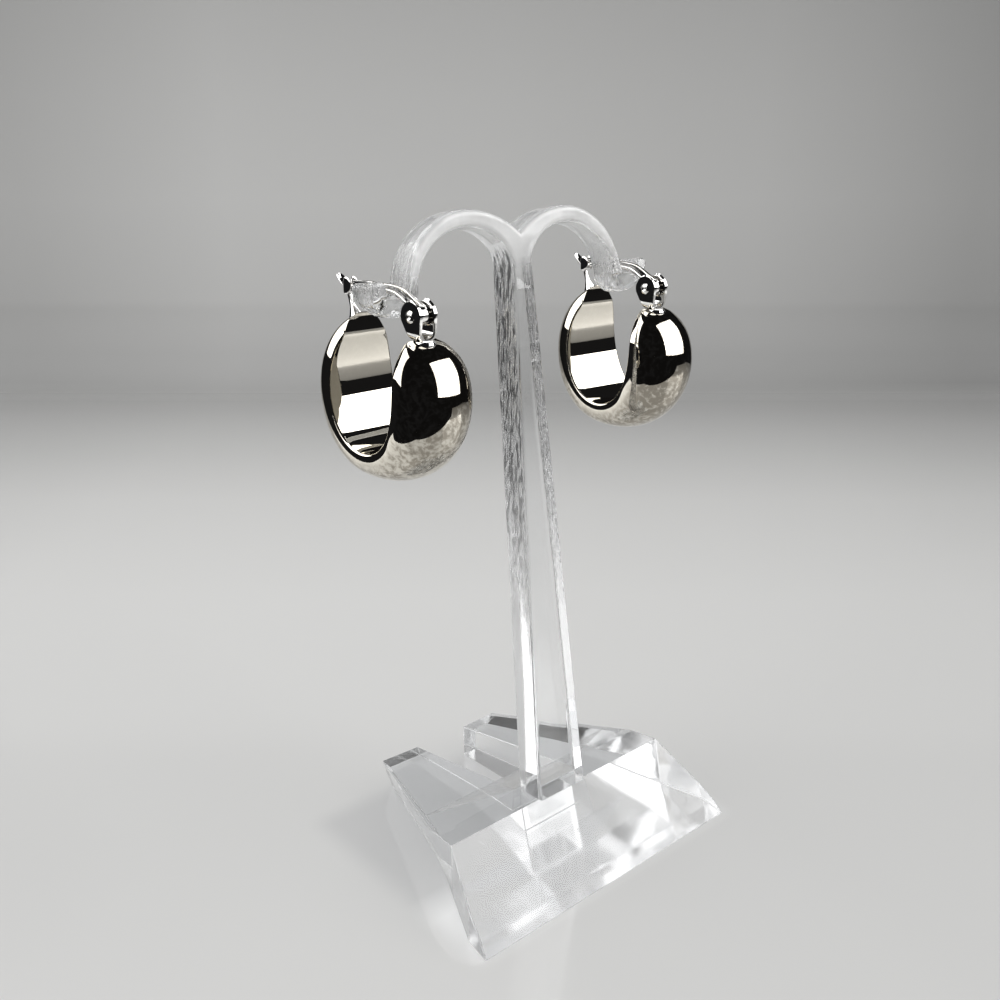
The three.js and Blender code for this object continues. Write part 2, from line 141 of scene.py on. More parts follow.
def arm_outline():
    """Half the outline in X and Z: up from the foot, round inside the arch, back over the top."""
    points = [(foot_half, foot_drop)]

    def ellipse(x, z, reach, rise, start, end, steps=28):
        for i in range(steps + 1):
            turn = start + (end - start) * i / steps
            points.append((x + reach * math.cos(turn), z + rise * math.sin(turn)))

    quarter = math.pi / 2
    stem_rise = arch_spring + inner_rise - stem_spring
    ellipse(inner_middle, stem_spring, inner_middle - top_half, stem_rise, math.pi, quarter)
    ellipse(inner_middle, arch_spring, inner_reach, inner_rise, quarter - crown_gap, 0)
    heel = inner_middle + inner_reach + heel_reach
    ellipse(heel, finger_bottom + heel_rise, heel_reach, heel_rise, math.pi, 3 * quarter, 12)
    tip = finger_tip - tip_reach
    ellipse(tip, finger_bottom + tip_rise, tip_reach, tip_rise, 3 * quarter, 4 * quarter, 16)
    lip_z = finger_top - lip_round
    ellipse(finger_tip - lip_round, lip_z, lip_round, lip_round, 0, quarter, 6)
    ellipse(groove_to + lip_round, lip_z, lip_round, lip_round, quarter, math.pi, 6)
    bed = groove_floor + groove_round
    ellipse(groove_to - groove_round, bed, groove_round, -groove_round, 0, quarter, 3)
    ellipse(groove_from + groove_round, bed, groove_round, -groove_round, quarter, math.pi, 3)
    ellipse(arch_middle, arch_spring, reach_out, arch_rise, finger_gap, quarter)
    valley = math.acos(-arch_middle / reach_in)
    ellipse(arch_middle, arch_spring, reach_in, arch_rise, quarter + valley_gap, valley)
    return points


def rounding(x, z):
    """How far the sheet's edge is rounded here: most under the fingers, least in the grooves."""
    if groove_from - 0.1 < x < groove_to + 0.1 and z > groove_floor - 0.1:
        return groove_edge_round
    if x > groove_to and z > tip_from:
        return tip_round
    if x < finger_from:
        return np.interp(z, arm_heights, (stem_round, arm_round))
    return np.interp(z, finger_heights, (finger_round, arm_round))


def stem_plate():
    """The sheet as rings, its edges curving in from the outline to the flat faces, leant back."""
    half = arm_outline()
    outline = np.array(half + [(-x, z) for x, z in half[-2::-1]])
    gaps = np.linalg.norm(outline - np.roll(outline, 1, axis=0), axis=1)
    outline = outline[gaps > least_gap]

    # Each point can move in along the line that halves its corner.
    before = outline - np.roll(outline, 1, axis=0)
    after = np.roll(outline, -1, axis=0) - outline
    before /= np.linalg.norm(before, axis=1)[:, None]
    after /= np.linalg.norm(after, axis=1)[:, None]
    bisector = before + after
    bisector /= np.linalg.norm(bisector, axis=1)[:, None]
    stretch = 1 / np.maximum(0.5, np.einsum("ij,ij->i", bisector, after))
    inward = np.stack([-bisector[:, 1], bisector[:, 0]], 1) * stretch[:, None]

    # Three passes even out the steps from one rounding to the next.
    radius = np.array([rounding(abs(x), z) for x, z in outline])
    for _ in range(3):
        radius = (np.roll(radius, 1) + 2 * radius + np.roll(radius, -1)) / 4
    rings = []
    for face in (-1, 1):
        for t in np.linspace(0, math.pi / 2, 8)[::face]:
            inset = outline + inward * (radius * (1 - math.cos(t)))[:, None]
            y = face * (stem_thickness / 2 - radius * (1 - math.sin(t)))
            rings.append([(x, at, z) for (x, z), at in zip(inset, y)])
    bm = loft(rings)
    lean_back(bm)
    return bm


def lean_back(bm):
    """Leans a piece that was made upright as far back as the stem leans."""
    bmesh.ops.rotate(bm, cent=(0, 0, 0), matrix=Matrix.Rotation(-lean, 3, "X"), verts=bm.verts[:])


def mesh_from(bm, name):
    """A plain mesh in metres from bmesh in millimetres."""
    bmesh.ops.recalc_face_normals(bm, faces=bm.faces[:])
    bmesh.ops.scale(bm, vec=(MM, MM, MM), verts=bm.verts[:])
    mesh = bpy.data.meshes.new(name)
    bm.to_mesh(mesh)
    bm.free()
    return mesh


def settled(name, mesh, *modifiers):
    """The mesh after these modifiers, each given as its type and settings."""
    rough = bpy.data.objects.new(name + "_rough", mesh)
    bpy.context.scene.collection.objects.link(rough)
    for kind, settings in modifiers:
        modifier = rough.modifiers.new(kind.lower(), kind)
        for key, value in settings.items():
            setattr(modifier, key, value)
    bpy.context.view_layer.update()
    depsgraph = bpy.context.evaluated_depsgraph_get()
    made = bpy.data.meshes.new_from_object(rough.evaluated_get(depsgraph))
    made.name = name
    bpy.data.objects.remove(rough)
    return made


def smooth_by_angle(mesh, degrees):
    """Smooth shading, with a sharp edge wherever two faces meet at more than this angle."""
    for face in mesh.polygons:
        face.use_smooth = True
    mesh.set_sharp_from_angle(angle=math.radians(degrees))


def made_object(name, mesh, material, body, slot, *replaced):
    """Puts a finished mesh in the scene, on its body, standing for its CAD nodes."""
    mesh.materials.clear()
    mesh.materials.append(material)
    piece = bpy.data.objects.new(name, mesh)
    bpy.context.scene.collection.objects.link(piece)
    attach(piece, body)
    if replaced:
        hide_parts(*replaced)


class Value:
    """A node's output; arithmetic on it adds Math nodes."""

    def __init__(self, shader, out):
        self.shader, self.out = shader, out

    def __add__(self, other):
        return self.shader.maths("ADD", self, other)

    def __radd__(self, other):
        return self.shader.maths("ADD", other, self)

    def __sub__(self, other):
        return self.shader.maths("SUBTRACT", self, other)

    def __rsub__(self, other):
        return self.shader.maths("SUBTRACT", other, self)

    def __mul__(self, other):
        return self.shader.maths("MULTIPLY", self, other)

    def __rmul__(self, other):
        return self.shader.maths("MULTIPLY", other, self)

    def __truediv__(self, other):
        return self.shader.maths("DIVIDE", self, other)

    def __rtruediv__(self, other):
        return self.shader.maths("DIVIDE", other, self)

    def __abs__(self):
        return self.shader.maths("ABSOLUTE", self)

    def between(self, low, high, start=0.0, end=1.0, way="LINEAR"):
        """Goes from start to end as this value goes from low to high, and stays there."""
        settings = {"interpolation_type": way}
        values = {"Value": self, 1: low, 2: high, 3: start, 4: end}
        return self.shader.node("ShaderNodeMapRange", settings, values)["Result"]


class Shader:
    """The nodes of a material or a world."""

    def __init__(self, owner):
        self.owner = owner
        owner.use_nodes = True
        self.tree = owner.node_tree
        self.tree.nodes.clear()

    def node(self, kind, settings=None, values=None):
        """Adds a node: its settings, then its sockets' values or links. Gives its outputs."""
        made = self.tree.nodes.new(kind)
        for name, value in (settings or {}).items():
            if name == "stops":
                ramp = made.color_ramp
                while len(ramp.elements) < len(value):
                    ramp.elements.new(0.5)
                for element, (place, tone) in zip(ramp.elements, value):
                    element.position = place
                    element.color = (tone, tone, tone, 1.0)
            else:
                setattr(made, name, value)
        for name, value in (values or {}).items():
            socket = made.inputs[name]
            if isinstance(value, Value):
                self.tree.links.new(value.out, socket)
            else:
                socket.default_value = value
        return {key: Value(self, out)
                for number, out in enumerate(made.outputs) for key in (out.name, number)}

    def maths(self, operation, *values):
        settings = {"operation": operation}
        return self.node("ShaderNodeMath", settings, dict(enumerate(values)))[0]

    def parts(self, vector):
        return self.node("ShaderNodeSeparateXYZ", None, {0: vector})

    def noise(self, place, scale, detail, **more):
        values = {"Vector": place, "Scale": scale, "Detail": detail, **more}
        return self.node("ShaderNodeTexNoise", None, values)["Fac"]

    def colours(self, share, first, second, way="MIX"):
        """The first colour, going over to the second by this share."""
        settings = {"data_type": "RGBA", "blend_type": way}
        return self.node("ShaderNodeMix", settings, {0: share, 6: first, 7: second})[2]

    def surface(self, **values):
        """A Principled surface, its sockets named with _ for their spaces."""
        sockets = {name.replace("_", " "): value for name, value in values.items()}
        return self.node("ShaderNodeBsdfPrincipled", None, sockets)["BSDF"]

    def over(self, share, below, above):
        """One surface, with so much of another over it."""
        return self.node("ShaderNodeMixShader", None, {0: share, 1: below, 2: above})["Shader"]

    def finish(self, surface):
        kind = "World" if isinstance(self.owner, bpy.types.World) else "Material"
        self.node("ShaderNodeOutput" + kind, None, {"Surface": surface})
        return self.owner


def clear_acrylic():
    """Clear acrylic: handling scratches, a little haze, and waves left by the flame."""
    acrylic = Shader(bpy.data.materials.new("clear_acrylic"))
    there = acrylic.node("ShaderNodeTexCoord")
    place = there["Object"]
    parts, facing = acrylic.parts(place), acrylic.parts(there["Normal"])
    height, outwards = parts["Z"], abs(parts["X"])
    side_faces = abs(facing["X"]).between(0.75, 0.95)

    # The waves are deepest on the arms and fingers. The upper stem's edges keep saw marks.
    along_grain = acrylic.node("ShaderNodeMapping", None, {"Vector": place, "Scale": (900, 300, 120)})
    scratches = acrylic.noise(along_grain["Vector"], 1.0, 4.0).between(0.62, 0.74)
    across_edge = acrylic.node("ShaderNodeMapping", None, {"Vector": place, "Scale": (900, 3200, 520)})
    saw_marks = acrylic.noise(across_edge["Vector"], 1.0, 3.0)
    sawn = side_faces * height.between(*sawn_heights)
    waves = acrylic.noise(place, 150.0, 1.5, Distortion=0.4)
    waves = waves * height.between(*wavy_heights, waves_on_base, waves_on_arms)
    waves = waves * outwards.between(*onto_fingers, 1.0, more_on_fingers)
    relief = waves + scratches * 0.004 + saw_marks * sawn * 0.5
    normal = acrylic.node("ShaderNodeBump", None, {"Height": relief, "Distance": MM})["Normal"]

    patches = acrylic.noise(place, 220.0, 3.0)
    under = height.between(0.0, 0.1 * MM, 0.1, 0.0)
    body = acrylic.surface(
        Base_Color=acrylic_tint, Transmission_Weight=1.0, IOR=1.49,
        Roughness=patches * haze + scratches * 0.12 + under, Normal=normal)

    # The flame has clouded the arches, most on their flat faces.
    cloudy = height.between(*cloudy_heights) * abs(facing["Y"]).between(0.6, 0.95, 0.3, 1.0)
    clouds = acrylic.surface(Base_Color=cloud_white, Roughness=0.25, Normal=normal)
    body = acrylic.over(cloudy * (patches * 0.7 + 0.35), body, clouds)

    # Dark streaks are painted into the stem's saw marks, most on its left edge, in place of the dark
    # reflections seen there.
    on_stem = outwards.between(*past_stem, 1.0, 0.0)
    painted_streaks = saw_marks.between(0.47, 0.6, 0.0, 0.85) * sawn * on_stem
    painted_streaks = painted_streaks * parts["X"].between(*left_to_right, 1.0, 0.35)
    body = acrylic.over(painted_streaks, body, acrylic.surface(Base_Color=painted_dark_streaks, Roughness=0.4))

    # Low on its left edge, the rear half is painted grey as shade where no light shows through, a
    # little wider higher up.
    through = parts["Y"] * math.cos(lean) - parts["Z"] * math.sin(lean)
    through = through + height.between(*shade_widening, -0.5 * MM, 0.1 * MM)
    painted_shade = through.between(-0.2 * MM, 0.3 * MM, 0.0, 0.75) * side_faces * on_stem
    painted_shade = painted_shade * parts["X"].between(*left_to_right, 1.0, 0.0)
    painted_shade = painted_shade * height.between(*shade_heights, 1.0, 0.0) * height.between(*base_top)
    body = acrylic.over(painted_shade, body, acrylic.surface(Base_Color=painted_shade_grey, Roughness=0.6))

    # Light on its way to or from the table passes straight through.
    ray = acrylic.node("ShaderNodeLightPath")
    passing = acrylic.node("ShaderNodeBsdfTransparent", None, {"Color": shadow_tint})["BSDF"]
    to_table = acrylic.maths("MAXIMUM", ray["Is Shadow Ray"], ray["Is Diffuse Ray"])
    return acrylic.finish(acrylic.over(to_table, body, passing))


polish = {"width": polish_radius * MM, "segments": 3,
          "limit_method": "ANGLE", "angle_limit": math.radians(8)}
base_mesh = settled("base", mesh_from(base_block(), "base_rough"), ("BEVEL", polish))
stem = bpy.data.objects.new("stem", mesh_from(stem_plate(), "stem"))
bpy.context.scene.collection.objects.link(stem)
cemented = {"operation": "UNION", "object": stem, "solver": "EXACT"}
stand_mesh = settled("stand", base_mesh, ("BOOLEAN", cemented))
bpy.data.objects.remove(stem)
smooth_by_angle(stand_mesh, 32)
flat_faces = {"keep_sharp": True, "weight": 80}
stand_mesh = settled("acrylic_stand", stand_mesh, ("WEIGHTED_NORMAL", flat_faces))
made_object("acrylic_stand", stand_mesh, clear_acrylic(), ROOT, "acrylic", "stand_base", "stand_stem")

# ---- The cement ---------------------------------------------------------------------
# Clear cement joins the stem's foot to its socket. It has dried to a thin, faintly grey film
# between the two pieces, cloudy where it ran unevenly.

film_top, film_inset = 8.6, 0.03
film_grey = (0.55, 0.555, 0.56, 1.0)


def film_block():
    """The foot's outside, a hair smaller, from its end up to the ridge."""
    rings = []
    y = stem_thickness / 2 - film_inset
    for z in (foot_drop + film_inset, film_top):
        share = (z - foot_drop) / (stem_spring - foot_drop)
        x = foot_half + (top_half - foot_half) * share - film_inset
        rings.append([(-x, -y, z), (x, -y, z), (x, y, z), (-x, y, z)])
    bm = loft(rings)
    lean_back(bm)
    return bm


def dried_cement():
    """Clouded grey on the film's upright sides, nothing on its ends."""
    cement = Shader(bpy.data.materials.new("dried_cement"))
    there = cement.node("ShaderNodeTexCoord")
    upward = cement.parts(there["Normal"])["Z"]
    clouds = cement.noise(there["Object"], 500.0, 3.0)
    shown = abs(upward).between(0.5, 0.9, 1.0, 0.0) * (clouds * 0.4 + 0.05)
    return cement.finish(cement.surface(Base_Color=film_grey, Roughness=0.5, Alpha=shown))


made_object("cement_film", mesh_from(film_block(), "cement_film"), dried_cement(), ROOT, "acrylic")

# ---- The hoops ----------------------------------------------------------------------
# Each is formed hollow from silver-coloured sheet metal and mirror polished: a flat inner
# band, a narrow rim and a dome that swells towards the front. The same table shapes both.

eye_y, eye_z, eye_half_depth, eye_half_height = 8.75, 68.3, 6.1, 8.3
rim_height, fullness = 0.8, 2.02

# The band's back end is closed by a flat face: the turn where it leaves the band, how far
# it leans, how softly it starts, the width of the rim left outside it, and its whole turn.
end_turn, end_tilt, end_round, end_lip, end_sweep = -124.0, math.radians(7.5), 0.35, 0.35, 20

# Each earring hangs by its hinge, turned a little on its finger: X and turn by its side.
hinge_y, hinge_z = (at / MM for at in frame["joints"][0]["pos_m"][1:])
hung = {}
for joint in frame["joints"]:
    axis_x, axis_y, _ = joint["axis"]
    side = joint["child"].removesuffix("_ear_wire")
    hung[side] = (joint["pos_m"][0], math.atan2(axis_y, axis_x))

# At each turn in degrees from straight down, forwards positive: wall thickness, half width.
hoop_sections = np.array([
    (-141, 1.2, 1.1), (-134, 1.8, 2.1), (-125, 2.45, 3.2), (-112, 3.25, 4.1), (-95, 4.1, 4.7),
    (-75, 4.55, 5.0), (-50, 4.7, 5.15), (-25, 4.2, 5.05), (0, 3.7, 4.85), (20, 4.05, 4.75),
    (40, 4.7, 4.8), (60, 5.35, 5.05), (78, 5.2, 5.2), (92, 4.35, 5.2), (102, 3.5, 4.95),
    (110, 2.65, 4.4), (116, 1.95, 3.7), (120, 1.45, 3.05), (124, 0.95, 2.3),
])
ring_count, easing, tip_turn = 521, 14, 2.2

hoop_bright, hoop_dull, hoop_ripple = (0.67, 0.635, 0.56, 1.0), (0.34, 0.31, 0.26, 1.0), 0.03


def eased_rows(rows, count, spread):
    """The table's rows at even steps, with its corners smoothed over so many steps."""
    at = np.linspace(rows[0, 0], rows[-1, 0], count)
    reach = np.arange(-4 * spread, 4 * spread + 1)
    kernel = np.exp(-(reach / spread) ** 2 / 2)
    kernel /= kernel.sum()
    columns = [at]
    for column in rows.T[1:]:
        values = np.interp(at, rows[:, 0], column)
        before = 2 * values[0] - values[4 * spread:0:-1]
        after = 2 * values[-1] - values[-2:-4 * spread - 2:-1]
        columns.append(np.convolve(np.concatenate([before, values, after]), kernel, "valid"))
    return np.stack(columns, 1)


def outward(turn):
    """Y and Z of the direction away from the eye at this turn."""
    angle = math.radians(turn)
    return -math.sin(angle), -math.cos(angle)


def signed_power(value, power):
    """The size raised to a power, its sign kept: a power under 1 makes a circle squarer."""
    return math.copysign(abs(value) ** power, value)


def end_face(turn):
    """How far outside the eye the flat back end lies at this turn, eased in at its start."""
    tilt_y, tilt_z = -math.cos(end_tilt), math.sin(end_tilt)

    def across(at):
        out_y, out_z = outward(at)
        return tilt_y * eye_half_depth * out_y + tilt_z * eye_half_height * out_z

    out_y, out_z = outward(turn)
    proud = (across(end_turn) - across(turn)) / (tilt_y * out_y + tilt_z * out_z)
    if turn > end_turn + end_sweep or proud < -end_round:
        return 0.0
    return proud if proud > end_round else (proud + end_round) ** 2 / (4 * end_round)


def hoop_ring(turn, wall, half, shrink=1.0):
    """One section of the hoop in millimetres, the earring's middle plane at X = 0."""
    rim = min(rim_height, 0.55 * wall)
    corner = 0.35 * rim
    flat = [(x * (half - corner), 0.0) for x in np.linspace(-1, 1, 13)]
    bend = [(half - corner + corner * math.sin(t), corner - corner * math.cos(t))
            for t in np.linspace(0.3, math.pi / 2, 5)]
    power = 2 / fullness
    dome = [(half * signed_power(math.cos(t), power), rim + (wall - rim) * abs(math.sin(t)) ** power)
            for t in np.linspace(0, math.pi, 73)]
    section = flat + bend + dome + [(-x, rise) for x, rise in bend[::-1]]
    closed = min(wall - end_lip, end_face(turn))
    share = min(0.98, max(0.0, (closed - rim) / (wall - rim)))
    widest = half * (1 - share ** fullness) ** (1 / fullness)
    middle = (wall + closed) / 2
    out_y, out_z = outward(turn)
    ring = []
    for x, rise in section:
        if rise < closed:
            x, rise = max(-widest, min(widest, x)), closed
        rise = middle + (rise - middle) * shrink
        y = eye_y + (eye_half_depth + rise) * out_y
        ring.append((x * shrink, y, eye_z + (eye_half_height + rise) * out_z))
    return ring


def hoop_rings():
    """The hoop's sections from back to front, drawn in to a rounded tip at each end."""
    rows = eased_rows(hoop_sections, ring_count, easing)
    rows = rows[[end_face(turn) < wall - end_lip for turn, wall, _ in rows]]
    rings = [hoop_ring(*row) for row in rows]
    for (turn, wall, half), step in ((rows[0], -1), (rows[-1], 1)):
        for t in (0.35, 0.7, 1.0, 1.3, 1.5):
            tip = hoop_ring(turn + step * tip_turn * math.sin(t), wall, half, math.cos(t))
            rings.insert(0 if step < 0 else len(rings), tip)
    return rings


def hang(mesh, side):
    """Moves a piece made on the plane X = 0 to where its earring hangs."""
    x, twist = hung[side]
    pivot = Vector((0, hinge_y, 0)) * MM
    to_hinge = Matrix.Translation(pivot + Vector((x, 0, 0))) @ Matrix.Rotation(twist, 4, "Z")
    mesh.transform(to_hinge @ Matrix.Translation(-pivot))
    return mesh


def polished_silver(name, bright, dull, ripple, outside_only):
    """Mirror-polished metal under a smeared film of handling, with a trace of ripple."""
    silver = Shader(bpy.data.materials.new(name))
    place = silver.node("ShaderNodeTexCoord")["Object"]
    drift = silver.node("ShaderNodeTexNoise", None, {"Vector": place, "Scale": 350.0, "Detail": 2.0})
    straying = {0: 2.2 * MM, 4: place, 5: drift["Color"]}
    strayed = silver.node("ShaderNodeMix", {"data_type": "VECTOR"}, straying)[1]
    smears = silver.noise(strayed, 1500.0, 5.0, Roughness=0.6)
    film = (smears + silver.noise(place, 90.0, 1.0) * 0.35).between(0.54, 0.72)
    if outside_only:
        parts = silver.parts(place)
        across = (parts["Y"] - eye_y * MM) / (eye_half_depth * MM)
        up = (parts["Z"] - eye_z * MM) / (eye_half_height * MM)
        film = film * (across * across + up * up).between(1.2, 1.7, 0.1, 1.0)
    relief = silver.noise(place, 160.0, 1.5) + smears * 0.05
    bump = {"Height": relief, "Strength": ripple, "Distance": 0.3 * MM}
    return silver.finish(silver.surface(
        Base_Color=silver.colours(film, bright, dull), Metallic=1.0, Roughness=film * 0.03 + 0.01,
        Normal=silver.node("ShaderNodeBump", None, bump)["Normal"]))


hoop_silver = polished_silver("hoop_silver", hoop_bright, hoop_dull, hoop_ripple, True)
for side in hung:
    dome_mesh = hang(mesh_from(loft(hoop_rings()), side + "_dome"), side)
    smooth_by_angle(dome_mesh, 40)
    made_object(side + "_dome", dome_mesh, hoop_silver, ROOT, "silver", side + "_hoop")

# ---- The hinge brackets --------------------------------------------------------------
# A strip of silver-coloured metal bent into a U, its two ends stamped into round ears,
# soldered by its bend to a small collar on the hoop's front end.

ear_radius, ear_thickness, bracket_width, bracket_bulge = 1.7, 0.4, 2.5, 0.05
ear_crown, ear_shoulder = math.pi / 2 - 0.08, -0.3  # the ear is round between these angles
bracket_foot_y, bracket_foot_z, bracket_foot_half = 3.0, 73.2, 0.75
collar_radius, collar_top, collar_height = 1.5, 1.35, 0.8
fitting_bright, fitting_dull, fitting_ripple = (0.84, 0.83, 0.82, 1.0), (0.72, 0.71, 0.69, 1.0), 0.02


def bracket():
    """The U-strip's middle surface, from one ear's top round the bend and up to the other's."""
    half_gap = (bracket_width - ear_thickness) / 2
    bend_z = bracket_foot_z + ear_thickness / 2 + half_gap
    rows = []
    for t in np.linspace(ear_crown, ear_shoulder, 20):
        rows.append((half_gap, hinge_z + ear_radius * math.sin(t), hinge_y, ear_radius * math.cos(t)))
    _, low_z, _, low_half = rows[-1]

    def taper(z):
        share = (low_z - z) / (low_z - bracket_foot_z)
        half = low_half + (bracket_foot_half - low_half) * share
        return hinge_y + (bracket_foot_y - hinge_y) * share, half

    for z in np.linspace(low_z, bend_z, 5)[1:]:
        rows.append((half_gap, z, *taper(z)))
    for t in np.linspace(0, math.pi / 2, 8)[1:]:
        z = bend_z - half_gap * math.sin(t)
        rows.append((half_gap * math.cos(t), z, *taper(z)))
    rows += [(-x, z, y, half) for x, z, y, half in rows[-2::-1]]
    bm = bmesh.new()
    across = np.linspace(-1, 1, 9)
    grid = [[bm.verts.new((x * (1 + bracket_bulge * (1 - v * v)), y + v * half, z)) for v in across]
            for x, z, y, half in rows]
    for low, high in zip(grid, grid[1:]):
        for i in range(len(across) - 1):
            bm.faces.new((low[i], low[i + 1], high[i + 1], high[i]))
    return bm


def circle(sides):
    """Cosine and sine at even turns."""
    turns = np.linspace(0, 2 * math.pi, sides, endpoint=False)
    return [(math.cos(t), math.sin(t)) for t in turns]


def collar():
    """A short round collar with a rolled edge."""
    top = bracket_foot_z + ear_thickness / 2
    profile = [
        (collar_radius - 0.1, top - collar_height), (collar_radius, top - collar_height + 0.15),
        (collar_radius, top - 0.42), (collar_radius - 0.04, top - 0.3), (collar_top, top - 0.12),
        (collar_top - 0.12, top - 0.02), (collar_top - 0.3, top)]
    return loft([[(r * x, bracket_foot_y + r * y, z) for x, y in circle(48)] for r, z in profile])


fitting_silver = polished_silver("fitting_silver", fitting_bright, fitting_dull, fitting_ripple, False)
strip_sheet = {"thickness": ear_thickness * MM, "offset": 0.0, "use_even_offset": True}
strip_edges = {"width": 0.17 * MM, "segments": 4,
               "limit_method": "ANGLE", "angle_limit": math.radians(50)}
for side in hung:
    strip = mesh_from(bracket(), side + "_strip")
    strip = settled(side + "_hinge_bracket", strip, ("SOLIDIFY", strip_sheet), ("BEVEL", strip_edges))
    smooth_by_angle(strip, 50)
    made_object(side + "_hinge_bracket", hang(strip, side), fitting_silver, ROOT, "silver")
    collar_mesh = mesh_from(collar(), side + "_collar")
    smooth_by_angle(collar_mesh, 50)
    made_object(side + "_collar", hang(collar_mesh, side), fitting_silver, ROOT, "silver")

# ---- The hinge rivets ----------------------------------------------------------------
# A pin of the same metal goes through both ears and the wire's barrel. It is peened at each
# end into a low round head.

pin_radius, head_radius, head_height, stand_off = 0.4, 0.7, 0.25, 0.02


def rivet():
    """One turned profile along X: head, pin, head."""
    face = bracket_width / 2 + stand_off
    outer = face + head_height
    head = [(outer - 0.16, 0.04), (outer - 0.14, 0.14), (outer - 0.06, 0.24), (outer, 0.34),
            (outer - 0.02, 0.45), (outer - 0.08, 0.57), (face + 0.07, head_radius),
            (face, head_radius - 0.03), (face, pin_radius)]
    profile = [(-x, r) for x, r in head] + head[::-1]
    return loft([[(x, hinge_y + r * y, hinge_z + r * z) for y, z in circle(32)] for x, r in profile])


for side in hung:
    rivet_mesh = mesh_from(rivet(), side + "_rivet")
    smooth_by_angle(rivet_mesh, 40)
    made_object(side + "_rivet", hang(rivet_mesh, side), fitting_silver, ROOT, "silver",
                side + "_hinge_rivet")

# ---- The catches ---------------------------------------------------------------------
# A slim upright of the same metal, soldered to the hoop's back end. Its head forks round the
# wire's tongue, and a small dished bill behind it is pushed with a thumb to let the wire go.

# The neck's path in Y and Z, and at each of its points its half width and half thickness.
neck_path = [(15.3, 74.2), (15.55, 75.15), (15.98, 75.95), (16.35, 76.75), (16.55, 77.35), (16.6, 77.8)]
neck_sections = [(0.95, 0.9), (0.6, 0.6), (0.3, 0.32), (0.23, 0.22), (0.26, 0.22), (0.45, 0.26)]

ear_outline = [
    (16.3, 77.4), (15.75, 77.75), (15.45, 78.3), (15.5, 78.85), (15.9, 79.25),
    (16.4, 79.4), (16.8, 79.2), (16.95, 78.7), (16.95, 78.2), (16.85, 77.4)]
fork_width, slot_width, slot_floor = 1.35, 0.9, 77.9
bar_sides, bar_power, bill_power = 12, 0.45, 0.8  # the lower a power, the squarer the shape
bill_root, bill_tip = (16.45, 77.95), (18.6, 79.65)
bill_width, bill_depth, bill_skin = 1.1, 0.36, 0.15


def bar(path, sections):
    """A squarish bar along points in Y and Z, with its half width and half thickness at each."""
    rings = []
    for i, ((y, z), (half_x, half_thick)) in enumerate(zip(path, sections)):
        before, after = path[max(0, i - 1)], path[min(len(path) - 1, i + 1)]
        along = Vector((after[0] - before[0], after[1] - before[1])).normalized()
        ring = []
        for k in range(bar_sides):
            t = 2 * math.pi * (k + 0.5) / bar_sides
            out = signed_power(math.sin(t), bar_power) * half_thick
            x = signed_power(math.cos(t), bar_power) * half_x
            ring.append((x, y - along.y * out, z + along.x * out))
        rings.append(ring)
    return loft(rings)


def joined(bodies):
    """One bmesh from several."""
    whole = bmesh.new()
    for body in bodies:
        mesh = bpy.data.meshes.new("part")
        bmesh.ops.recalc_face_normals(body, faces=body.faces[:])
        body.to_mesh(mesh)
        body.free()
        whole.from_mesh(mesh)
        bpy.data.meshes.remove(mesh)
    return whole


def eased_path(points, count):
    """Points along a smooth curve through these."""
    points = np.array(points, float)
    ends = np.vstack([2 * points[0] - points[1], points, 2 * points[-1] - points[-2]])
    made = []
    for p0, p1, p2, p3 in zip(ends, ends[1:], ends[2:], ends[3:]):
        for t in np.linspace(0, 1, count, endpoint=False):
            squared = 2 * p0 - 5 * p1 + 4 * p2 - p3
            cubed = 3 * p1 - p0 - 3 * p2 + p3
            made.append(0.5 * (2 * p1 + (p2 - p0) * t + squared * t ** 2 + cubed * t ** 3))
    made.append(points[-1])
    return np.array(made)


def rounded_plate(outline, x, thickness, edge, crown):
    """A thin plate square to X, its edges rounded off."""
    outline = np.array(outline)
    middle = outline.mean(axis=0)
    reach = np.linalg.norm(outline - middle, axis=1)[:, None]
    rings = []
    for end in (-1, 1):
        for t in np.linspace(0, math.pi / 2, 7)[::end]:
            drawn_in = np.minimum(0.7 * reach, crown) * (1 - math.cos(t)) / reach
            inset = middle + (outline - middle) * (1 - drawn_in)
            off = end * (thickness / 2 - edge * (1 - math.sin(t)))
            rings.append([(x + off, y, z) for y, z in inset])
    return loft(rings)


def catch():
    """The neck, the crosspiece under the slot and the two ears beside it."""
    thickness = (fork_width - slot_width) / 2
    smooth_ear = eased_path(ear_outline + ear_outline[:1], 4)[:-1]
    crosspiece = [(16.3, 77.4), (15.85, 77.72), (15.85, slot_floor), (16.85, slot_floor), (16.85, 77.4)]
    bodies = [bar(neck_path, neck_sections)]
    bodies.append(rounded_plate(crosspiece, 0, fork_width - thickness, 0.05, 0.05))
    for end in (-1, 1):
        x = end * (slot_width + thickness) / 2
        bodies.append(rounded_plate(smooth_ear, x, thickness, 0.1, 0.55))
    return joined(bodies)


def bill():
    """A long oval spoon, its hollow towards the hinge, drawn as rings about its lowest point."""
    root, tip = Vector(bill_root), Vector(bill_tip)
    along = (tip - root).normalized()
    normal = Vector((-along.y, along.x))
    bm = bmesh.new()

    def point(r, lengthways, sideways):
        across = bill_width / 2 * r * signed_power(sideways, bill_power)
        share = 0.5 + 0.5 * r * signed_power(lengthways, bill_power)
        at = root + (tip - root) * share - normal * bill_depth * (1 - r ** 3)
        return across, at.x, at.y

    lowest = bm.verts.new(point(0, 1, 0))
    rings = [[bm.verts.new(point(r, x, y)) for x, y in circle(40)] for r in np.linspace(0.12, 1, 9)]
    for i in range(len(rings[0])):
        j = (i + 1) % len(rings[0])
        bm.faces.new((lowest, rings[0][i], rings[0][j]))
        for low, high in zip(rings, rings[1:]):
            bm.faces.new((low[i], high[i], high[j], low[j]))
    return bm


